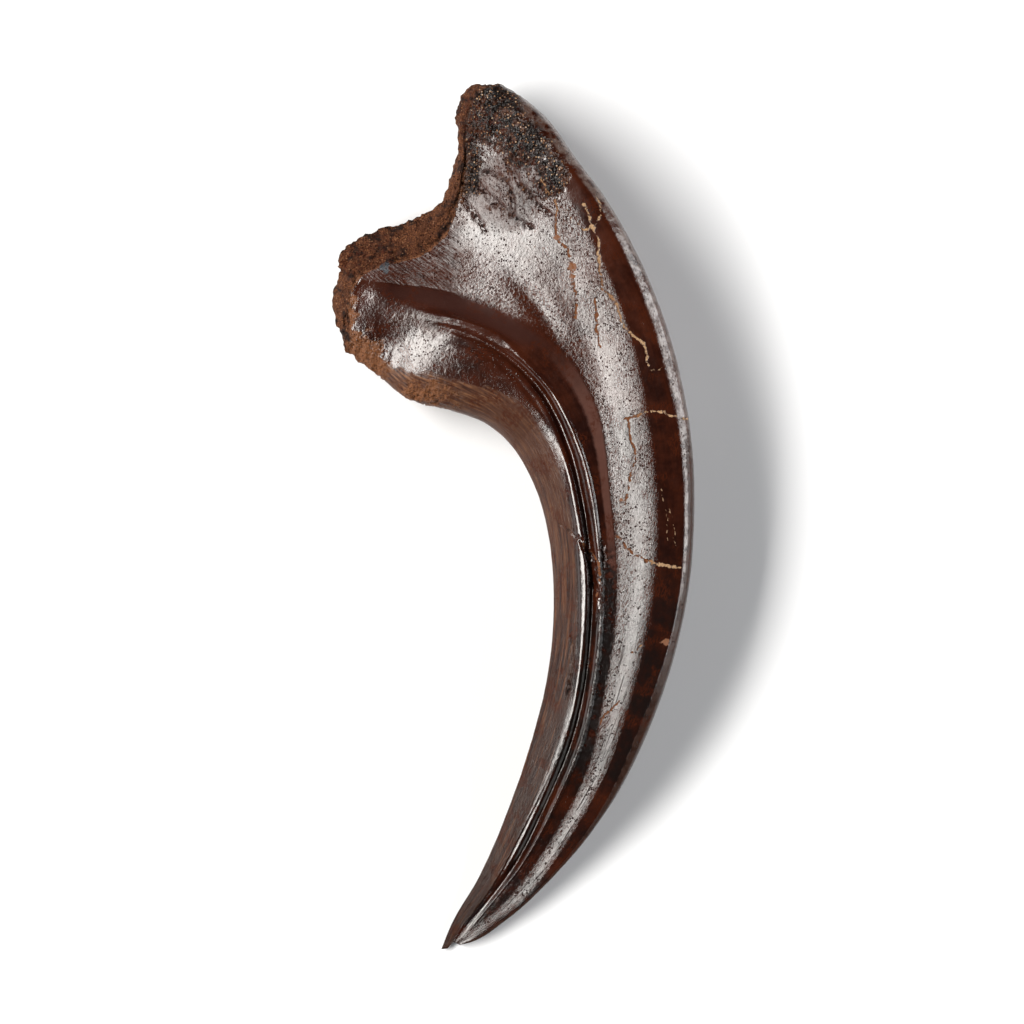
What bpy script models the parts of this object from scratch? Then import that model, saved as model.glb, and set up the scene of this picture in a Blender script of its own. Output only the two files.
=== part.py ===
# A predator's fossil hand claw: one solid bone core that lies on its side, tip toward -Y.
# The hollow joint face and the tubercle are at +Y, the back of the claw bows toward +X.
# Lists of points are in millimetres, and the mesh is made in metres.

import bpy
import bmesh
import numpy as np

mm = 0.001

# mesh size
rowsAlong = 74  # rows of the body, joint face to tip
rowsOnFace = 5  # rows between the middle of the joint face and its rim
columnsAcross = 27  # columns, inner edge to back

# how the claw lies: its middle surface sinks toward the tip and toward the tubercle
middleAlong = (
    (70.0, 7.5), (33.0, 6.5), (0.0, 5.9), (-14.0, 5.7), (-24.0, 5.2), (-31.0, 4.6), (-41.0, 3.3),
    (-49.0, 2.5), (-56.0, 1.9), (-67.0, 1.4),
)  # y, and height of the middle surface where x is zero
slopeAcross = 0.09  # its rise toward the back of the claw
underFullness = 1.0  # the underside against the top
# how square the inner edge is, joint to tip; 1 is a plain slope
innerBulge = (3.0, 3.0, 2.3, 1.4, 1.2, 1.2, 1.2, 1.2, 1.2, 1.2, 1.3)
backBulge = 2.3  # the same for the back
chamferShare, chamferLoss = 0.5, 0.13  # how far the bevel of the back reaches, and how much height it takes
cornerSoftness = 0.045  # how softly the flat stretches of the side meet, as a share of a row

# the edge of the claw seen from above, joint face first
jointFace = (
    (-24.9, 24.8), (-26.1, 27.8), (-27.1, 32.2), (-26.4, 36.5), (-26.1, 39.4), (-24.3, 41.4),
    (-20.3, 43.1), (-14.5, 45.0), (-11.0, 47.6), (-9.6, 50.5), (-8.3, 55.8), (-8.4, 61.6),
    (-7.0, 64.3), (-5.2, 65.0), (-3.6, 64.5), (-2.0, 65.0),
)
jointRim = (
    (-24.9, 24.8), (-24.6, 28.5), (-24.9, 32.0), (-23.0, 36.4), (-19.5, 37.9), (-14.0, 39.5),
    (-10.6, 42.2), (-8.6, 47.0), (-7.3, 53.6), (-6.9, 60.5), (-5.4, 63.7), (-2.0, 65.0),
)
backEdge = (
    (-2.0, 65.0), (1.8, 62.7), (5.4, 59.4), (9.2, 54.0), (13.9, 47.7), (18.9, 38.7), (22.7, 29.4),
    (25.2, 20.4), (26.8, 10.5), (27.1, 1.9), (26.5, -9.0), (24.6, -19.0), (21.0, -30.2),
    (15.2, -42.2), (11.1, -48.2), (5.7, -54.4), (-1.0, -60.6), (-5.9, -63.8), (-8.0, -64.4),
)
innerEdge = (
    (-24.9, 24.8), (-20.9, 21.8), (-15.8, 17.8), (-9.2, 16.0), (-4.0, 14.0), (-0.4, 10.9),
    (2.8, 5.6), (4.9, -0.8), (5.9, -8.0), (6.0, -15.5), (5.0, -24.5), (2.9, -33.0),
    (-0.8, -44.0), (-5.0, -53.8), (-9.5, -61.7), (-10.8, -65.0),
)
tipEdge = ((-10.8, -65.0), (-10.0, -64.9), (-9.1, -64.0), (-8.0, -64.4))

# where a row starts and ends, as shares of the length of the inner edge and of the back
rowStarts = (0.0, 0.12, 0.23, 0.33, 0.44, 0.56, 0.70, 0.85, 1.0)
rowEnds = (0.0, 0.12, 0.25, 0.37, 0.50, 0.61, 0.74, 0.87, 1.0)

# lines that shape the side of the claw: x, y and height above the table
backCrest = (
    (-3.2, 63.8, 9.5), (2.6, 59.6, 12.8), (9.0, 52.6, 15.7), (12.8, 47.2, 16.3), (15.9, 41.7, 16.4),
    (18.4, 36.0, 16.2), (20.8, 29.3, 16.0), (22.8, 21.8, 15.8), (24.4, 14.0, 15.5), (25.2, 6.0, 15.2),
    (25.4, -1.0, 14.9), (24.9, -10.0, 14.3), (23.2, -19.0, 13.2), (20.3, -27.4, 12.0),
    (17.6, -34.0, 10.4), (13.9, -42.4, 7.9), (9.6, -49.0, 5.6), (4.4, -55.2, 3.9), (-2.2, -60.9, 2.5),
    (-8.0, -64.4, 1.4),
)
shoulder = (
    (-4.6, 62.0, 9.3), (0.0, 56.0, 12.0), (5.0, 50.0, 13.9), (8.7, 45.9, 15.0), (11.2, 41.0, 15.5),
    (13.5, 36.5, 15.6), (15.4, 32.0, 15.6), (17.2, 26.0, 15.4), (19.2, 16.0, 15.2), (20.8, 2.6, 14.9),
    (20.1, -12.4, 13.9), (17.0, -27.4, 11.9), (14.3, -36.4, 9.5), (11.4, -42.4, 7.6), (6.5, -50.6, 4.9),
    (1.6, -57.2, 3.2), (-4.6, -61.6, 2.0), (-8.3, -64.2, 1.2),
)
crestMiddle = (
    (-12.0, 40.9, 6.8), (-6.0, 40.5, 9.0), (0.0, 38.5, 11.2), (5.0, 34.5, 12.6), (9.0, 29.5, 13.0),
    (12.4, 23.5, 13.3), (15.0, 16.0, 13.7), (16.8, 8.0, 13.8), (17.8, 2.6, 13.7), (18.0, -12.4, 13.0),
    (15.3, -27.4, 11.2), (13.1, -36.4, 9.0), (10.3, -42.4, 7.1), (5.5, -50.6, 4.5), (0.5, -57.3, 2.8),
    (-6.6, -62.9, 1.55), (-8.45, -64.15, 1.15),
)
crestFoot = (
    (-26.3, 36.4, 5.9), (-21.2, 35.5, 6.0), (-16.5, 35.0, 6.4), (-12.5, 34.7, 7.1), (-5.0, 33.4, 9.2),
    (1.0, 30.0, 11.0), (6.8, 26.0, 12.0), (12.3, 17.6, 12.5), (14.7, 2.6, 12.4), (15.6, -12.4, 12.0),
    (13.5, -27.4, 10.4), (11.8, -36.4, 8.4), (9.2, -42.4, 6.6), (4.5, -50.6, 4.1), (-0.6, -57.4, 2.4),
    (-8.6, -64.1, 1.1),
)
outerLip = (
    (-26.3, 32.6, 6.0), (-21.5, 31.9, 6.8), (-17.0, 31.0, 7.9), (-11.0, 29.9, 9.7), (-6.5, 28.6, 10.8),
    (-2.0, 26.5, 11.5), (1.1, 23.5, 11.9), (5.9, 17.8, 12.3), (9.8, 9.4, 12.6), (12.2, -3.0, 12.5),
    (12.7, -12.4, 12.2), (11.2, -27.4, 10.6), (9.6, -34.0, 9.1), (7.3, -39.4, 7.7), (1.3, -51.1, 4.0),
    (-6.5, -61.1, 1.6), (-8.6, -64.0, 1.0),
)
innerLip = (
    (-25.9, 28.1, 5.4), (-21.2, 27.5, 6.0), (-17.0, 27.4, 7.0), (-12.5, 27.4, 8.6), (-8.0, 26.5, 10.1),
    (-4.3, 25.0, 10.9), (-0.5, 22.3, 11.3), (2.5, 19.1, 11.6), (7.0, 11.9, 11.9), (9.4, 2.8, 12.0),
    (10.6, -8.6, 11.7), (10.1, -24.4, 10.3), (9.0, -31.0, 9.1), (7.1, -36.7, 7.6), (2.5, -46.6, 4.6),
    (-3.5, -57.4, 2.2), (-9.5, -64.1, 0.9),
)

# the blood-vessel groove in each side: its line, depth and half width from start to tip
groove = (
    (-15.0, 29.4), (-8.0, 27.7), (-2.0, 24.7), (4.0, 19.0), (8.2, 10.6), (10.6, 0.8), (11.8, -10.1),
    (11.5, -18.4), (9.2, -32.2), (4.7, -43.6), (0.7, -51.5), (-6.2, -60.7), (-9.2, -64.2),
)
grooveDepth = (0.0, 0.5, 0.9, 1.0, 1.0, 1.1, 1.3, 1.4, 1.3, 0.9, 0.6)
grooveHalfWidth = 0.7
lipHeight, lipHalfWidth = 0.2, 0.6  # the raised lip on each side of the groove

# shallow valleys: line, depth, width to the left and to the right of the line
valleys = (
    (((-18.0, 32.0), (-12.5, 31.6), (-7.0, 30.9), (-2.5, 29.0), (2.0, 25.8)), 0.35, 2.6, 1.1),
    (((-3.0, 38.5), (0.5, 35.2), (3.5, 31.6), (6.0, 28.0), (8.2, 23.5)), 0.5, 1.5, 1.3),
)

# bumps and hollows: x, y, height (hollows below zero), radius along x, radius along y
swellings = (
    (-22.5, 27.5, 0.5, 3.6, 3.4),  # tubercle, beside the joint
    (-15.5, 22.0, 0.5, 4.2, 2.6),  # tubercle, lower lump
    (-20.0, 33.5, 0.3, 2.4, 2),  # ledge under the joint rim
    (-4.6, 58.0, 0.4, 1.6, 3),  # side of the horn
    (2.5, 54.5, -0.35, 2.6, 2.2),  # bruise behind the horn
    (-1.5, 61.8, -0.3, 1, 1.4),  # dent between the two knobs of the horn
)
faceHollow = 1.1  # how deep each half of the joint face is scooped

# how the underside differs from the top: x, y, extra height, radius
underShape = (
    (16.5, 32.0, 0.65, 6),  # rests on the back of the base
    (-15.0, 30.0, 2.9, 6.5),  # rests on the tubercle
    (-1.0, -59.3, 0.85, 2.8),  # rests just behind the tip
    (19.0, -15.0, -0.9, 24),  # clear of the table between them
)


def curveThrough(points, count):
    """Points spaced evenly along a smooth curve that passes through the given ones."""
    knots = np.array(points, float)
    reach = np.concatenate([[0], np.cumsum(np.linalg.norm(np.diff(knots[:, :2], axis=0), axis=1))])
    slopes = np.gradient(knots, reach, axis=0)
    fine = np.linspace(0, reach[-1], 40 * len(knots))
    span = np.clip(np.searchsorted(reach, fine, side="right") - 1, 0, len(knots) - 2)
    width = (reach[span + 1] - reach[span])[:, None]
    t = (fine - reach[span])[:, None] / width
    dense = (
        knots[span] * (1 + 2 * t) * (1 - t) ** 2
        + slopes[span] * width * t * (1 - t) ** 2
        + knots[span + 1] * t**2 * (3 - 2 * t)
        + slopes[span + 1] * width * t**2 * (t - 1)
    )
    walked = np.concatenate([[0], np.cumsum(np.linalg.norm(np.diff(dense[:, :2], axis=0), axis=1))])
    wanted = np.linspace(0, walked[-1], count)
    return np.stack([np.interp(wanted, walked, dense[:, k]) for k in range(knots.shape[1])], axis=1)


def pick(curve, share):
    """The point of an evenly spaced curve at a share of its length."""
    place = np.linspace(0, 1, len(curve))
    return np.stack([np.interp(share, place, curve[:, k]) for k in range(curve.shape[1])], axis=-1)


def ease(t):
    t = np.clip(t, 0, 1)
    return t * t * (3 - 2 * t)


def bell(t):
    return np.exp(-t * t)


def rounded(t, power):
    """Rises from 0 to 1 with an upright start, like the side of a barrel."""
    return (1 - (1 - np.clip(t, 0, 1)) ** power) ** (1 / power)


def beside(x, y, curve):
    """Distance to a curve, share of its length at the nearest place, and distance with a sign."""
    steps = np.gradient(curve[:, :2], axis=0)
    dx = x[..., None] - curve[:, 0]
    dy = y[..., None] - curve[:, 1]
    near = np.hypot(dx, dy).argmin(-1)
    dx = np.take_along_axis(dx, near[..., None], -1)[..., 0]
    dy = np.take_along_axis(dy, near[..., None], -1)[..., 0]
    apart = np.hypot(dx, dy)
    side = np.sign(steps[near, 0] * dy - steps[near, 1] * dx)
    return apart, near / (len(curve) - 1), apart * side


def plan(along, across):
    """Place on the side of the claw, seen from above: a straight row bent to meet the joint and the tip."""
    stops = np.linspace(0, 1, len(rowStarts))
    start = pick(curveThrough(innerEdge, 400), np.interp(along, stops, rowStarts))
    end = pick(curveThrough(backEdge, 400), np.interp(along, stops, rowEnds))
    place = start + (end - start) * across[..., None]
    for edge, weight in ((jointRim, (1 - ease(along / 0.5)) ** 1.5), (tipEdge, ease((along - 0.94) / 0.06))):
        bend = curveThrough(edge, 400)
        chord = bend[0] + (bend[-1] - bend[0]) * across[..., None]
        place = place + weight[..., None] * (pick(bend, across) - chord)
    return place


def crossings(lines, along):
    """Where each shaping line crosses each row: share across the row, and height."""
    across = np.linspace(0, 1, 400)
    found = []
    for points in lines:
        curve = curveThrough(points, 700)
        rows = []
        for share in along:
            row = plan(np.full_like(across, share), across)
            apart = np.hypot(row[:, None, 0] - curve[:, 0], row[:, None, 1] - curve[:, 1])
            i, k = np.unravel_index(apart.argmin(), apart.shape)
            rows.append((across[i], curve[k, 2]))
        rows = np.array(rows)
        padded = np.pad(rows, ((2, 2), (0, 0)), mode="edge")
        found.append(sum(padded[k : k + len(rows)] for k in range(5)) / 5)
    return np.array(found)


def middleHeight(x, y):
    along = curveThrough(middleAlong[::-1], 300)
    return np.interp(y, along[:, 0], along[:, 1]) + slopeAcross * x


def overMiddle(line):
    """The same line with heights over the middle surface."""
    x, y, height = np.array(line).T
    return np.stack([x, y, height - middleHeight(x, y)], axis=1)


def sideHeight(across, crossed, bulge):
    """Height over the middle surface along one row: rounded edges, flat stretches and soft corners."""
    place, level = crossed.T
    place = np.append(place, place[-1] + (1 - place[-1]) * chamferShare)
    level = np.append(level, level[-1] * (1 - chamferLoss))

    def sharp(across):
        rise = level[0] * rounded(across / place[0], bulge)
        fall = level[-1] * rounded((1 - across) / (1 - place[-1]), backBulge)
        flat = np.interp(across, place, level)
        return np.where(across < place[0], rise, np.where(across > place[-1], fall, flat))

    reach = cornerSoftness * np.clip(np.minimum(across, 1 - across) / 0.1, 0, 1)
    steps = np.linspace(-1, 1, 17)
    weight = np.cos(steps * np.pi / 2) ** 2
    return sum(w * sharp(across + step * reach) for step, w in zip(steps, weight)) / weight.sum()


def relief(x, y):
    """Groove, valleys, bumps and hollows, as a change of height."""
    apart, share, side = beside(x, y, curveThrough(groove, 500))
    depth = np.interp(share, np.linspace(0, 1, len(grooveDepth)), grooveDepth)
    change = -depth * bell(apart / grooveHalfWidth)
    for lip in (innerLip, outerLip):
        apart, share, side = beside(x, y, curveThrough(lip, 500))
        fade = np.clip(share / 0.15, 0, 1) * np.clip((1 - share) / 0.1, 0, 1)
        change += lipHeight * bell(apart / lipHalfWidth) * fade
    for line, deepest, left, right in valleys:
        apart, share, side = beside(x, y, curveThrough(line, 300))
        change -= deepest * np.sin(np.pi * share) ** 2 * bell(side / np.where(side > 0, left, right))
    for centreX, centreY, height, radiusX, radiusY in swellings:
        change += height * bell((x - centreX) / radiusX) * bell((y - centreY) / radiusY)
    return change


def clawGrid():
    """Rows of points from the middle of the joint face to the tip: plan place and height of the side."""
    along = np.linspace(0, 1, rowsAlong) ** 1.03
    shaping = (innerLip, outerLip, crestFoot, crestMiddle, shoulder, backCrest)
    lines = crossings([overMiddle(line) for line in shaping], along)
    # columns stand close together at both edges and beside the groove
    even = np.linspace(0, 1, columnsAcross)
    spread = np.interp(
        even,
        (0, 0.04, 0.12, 0.26, 0.50, 0.60, 0.80, 0.90, 0.96, 1),
        (0, 0.006, 0.06, 0.19, 0.40, 0.52, 0.77, 0.905, 0.98, 1),
    )
    x = np.empty((rowsAlong, columnsAcross))
    y = np.empty_like(x)
    height = np.empty_like(x)
    bulge = np.interp(along, np.linspace(0, 1, len(innerBulge)), innerBulge)
    for row in range(rowsAlong):
        place = plan(np.full(columnsAcross, along[row]), spread)
        x[row] = place[:, 0]
        y[row] = place[:, 1]
        height[row] = sideHeight(spread, lines[:, row], bulge[row])
    height += relief(x, y) * np.clip(height / 1.5, 0, 1)
    height[-1] *= 0.5

    # joint face: from its rim out to the keel in the middle plane, scooped between them
    keel = pick(curveThrough(jointFace, 400), spread)
    rim = np.stack([x[0], y[0]], axis=1)
    scoop = faceHollow * np.sin(np.pi * np.clip((spread - 0.1) / 0.85, 0, 1))
    faceX = []
    faceY = []
    faceHeight = []
    for step in np.linspace(0, 1, rowsOnFace + 1)[:-1]:
        place = keel + (rim - keel) * step**0.8
        faceX.append(place[:, 0])
        faceY.append(place[:, 1])
        faceHeight.append(height[0] * rounded(step, 1.5) + scoop * np.sin(np.pi * step) * 0.5)
    x = np.vstack([faceX, x])
    y = np.vstack([faceY, y])
    height = np.vstack([faceHeight, height])
    height[:, 0] = 0
    height[:, -1] = 0
    return x, y, height


def makeClaw():
    x, y, height = clawGrid()
    middle = middleHeight(x, y)
    under = height * underFullness
    for centreX, centreY, extra, radius in underShape:
        near = bell(np.hypot(x - centreX, y - centreY) / radius)
        under = under + extra * near * np.clip(height / 2, 0, 1)
    top = middle + height
    bottom = np.maximum(middle - under, 0)  # flat where it rests on the table

    work = bmesh.new()
    rows, columns = x.shape
    sides = []
    for level in (top, bottom):
        points = [
            [work.verts.new((x[r, c] * mm, y[r, c] * mm, level[r, c] * mm)) for c in range(columns)]
            for r in range(rows)
        ]
        sides.append(points)
    for side, points in enumerate(sides):
        for r in range(rows - 1):
            for c in range(columns - 1):
                corners = [points[r][c], points[r][c + 1], points[r + 1][c + 1], points[r + 1][c]]
                work.faces.new(corners[::-1] if side == 0 else corners)
    # closes the blunt end of the tip
    for c in range(columns - 1):
        upper = sides[0][-1]
        lower = sides[1][-1]
        work.faces.new([upper[c], upper[c + 1], lower[c + 1], lower[c]])
    bmesh.ops.remove_doubles(work, verts=work.verts, dist=0.00001)
    bmesh.ops.dissolve_degenerate(work, edges=work.edges, dist=0.00001)
    bmesh.ops.triangulate(work, faces=work.faces)
    bmesh.ops.recalc_face_normals(work, faces=work.faces)
    mesh = bpy.data.meshes.new("claw")
    work.to_mesh(mesh)
    work.free()
    mesh.shade_smooth()
    mesh.set_sharp_from_angle(angle=np.radians(40))
    claw = bpy.data.objects.new("claw", mesh)
    bpy.context.scene.collection.objects.link(claw)
    return claw


def fossilBone():
    material = bpy.data.materials.new("fossil bone")
    material.use_nodes = True
    surface = material.node_tree.nodes["Principled BSDF"]
    surface.inputs["Base Color"].default_value = (0.075, 0.030, 0.018, 1)
    surface.inputs["Roughness"].default_value = 0.3
    surface.inputs["Metallic"].default_value = 0.0
    return material


for old in list(bpy.data.objects):
    bpy.data.objects.remove(old, do_unlink=True)
claw = makeClaw()
claw.data.materials.append(fossilBone())
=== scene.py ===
import math
from types import SimpleNamespace

import bmesh
import bpy
import numpy as np
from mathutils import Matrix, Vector
from mathutils.bvhtree import BVHTree


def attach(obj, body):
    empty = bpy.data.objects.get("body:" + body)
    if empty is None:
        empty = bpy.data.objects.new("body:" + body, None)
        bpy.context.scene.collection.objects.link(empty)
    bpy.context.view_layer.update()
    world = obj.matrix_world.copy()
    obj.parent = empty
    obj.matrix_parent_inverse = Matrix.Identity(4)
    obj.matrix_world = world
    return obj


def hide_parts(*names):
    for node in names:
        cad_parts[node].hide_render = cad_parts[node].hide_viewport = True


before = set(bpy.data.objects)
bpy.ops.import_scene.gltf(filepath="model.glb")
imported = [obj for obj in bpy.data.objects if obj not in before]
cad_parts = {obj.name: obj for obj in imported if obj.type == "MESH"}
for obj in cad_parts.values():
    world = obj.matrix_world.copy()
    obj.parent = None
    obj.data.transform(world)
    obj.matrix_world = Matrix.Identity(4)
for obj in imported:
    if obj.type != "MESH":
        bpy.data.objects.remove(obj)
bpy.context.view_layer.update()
mm = 0.001


def curveThrough(points, count):
    # evenly spaced points on a smooth curve through the given ones
    knots = np.array(points, float)
    reach = np.concatenate([[0], np.cumsum(np.linalg.norm(np.diff(knots[:, :2], axis=0), axis=1))])
    slopes = np.gradient(knots, reach, axis=0)
    fine = np.linspace(0, reach[-1], 60 * len(knots))
    span = np.clip(np.searchsorted(reach, fine, side="right") - 1, 0, len(knots) - 2)
    width = (reach[span + 1] - reach[span])[:, None]
    t = (fine - reach[span])[:, None] / width
    dense = (
        knots[span] * (1 + 2 * t) * (1 - t) ** 2
        + slopes[span] * width * t * (1 - t) ** 2
        + knots[span + 1] * t**2 * (3 - 2 * t)
        + slopes[span + 1] * width * t**2 * (t - 1)
    )
    walked = np.concatenate([[0], np.cumsum(np.linalg.norm(np.diff(dense[:, :2], axis=0), axis=1))])
    wanted = np.linspace(0, walked[-1], count)
    return np.stack([np.interp(wanted, walked, dense[:, k]) for k in range(knots.shape[1])], axis=1)


def pick(curve, share):
    place = np.linspace(0, 1, len(curve))
    return np.stack([np.interp(share, place, curve[:, k]) for k in range(curve.shape[1])], axis=-1)


def ease(t):
    t = np.clip(t, 0, 1)
    return t * t * (3 - 2 * t)


def bell(t):
    return np.exp(-t * t)


def rounded(t, power):
    return (1 - (1 - np.clip(t, 0, 1)) ** power) ** (1 / power)


def beside(x, y, curve):
    # distance to a curve, share of its length at the nearest place, and signed distance (left of it is plus)
    steps = np.gradient(curve[:, :2], axis=0)
    apart = np.empty(x.shape)
    share = np.empty(x.shape)
    side = np.empty(x.shape)
    for row in range(x.shape[0]):
        dx = x[row][:, None] - curve[:, 0]
        dy = y[row][:, None] - curve[:, 1]
        square = dx * dx + dy * dy
        near = square.argmin(1)
        each = np.arange(len(near))
        apart[row] = np.sqrt(square[each, near])
        share[row] = near / (len(curve) - 1)
        side[row] = np.sign(steps[near, 0] * dy[each, near] - steps[near, 1] * dx[each, near])
    return apart, share, apart * side


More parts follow.
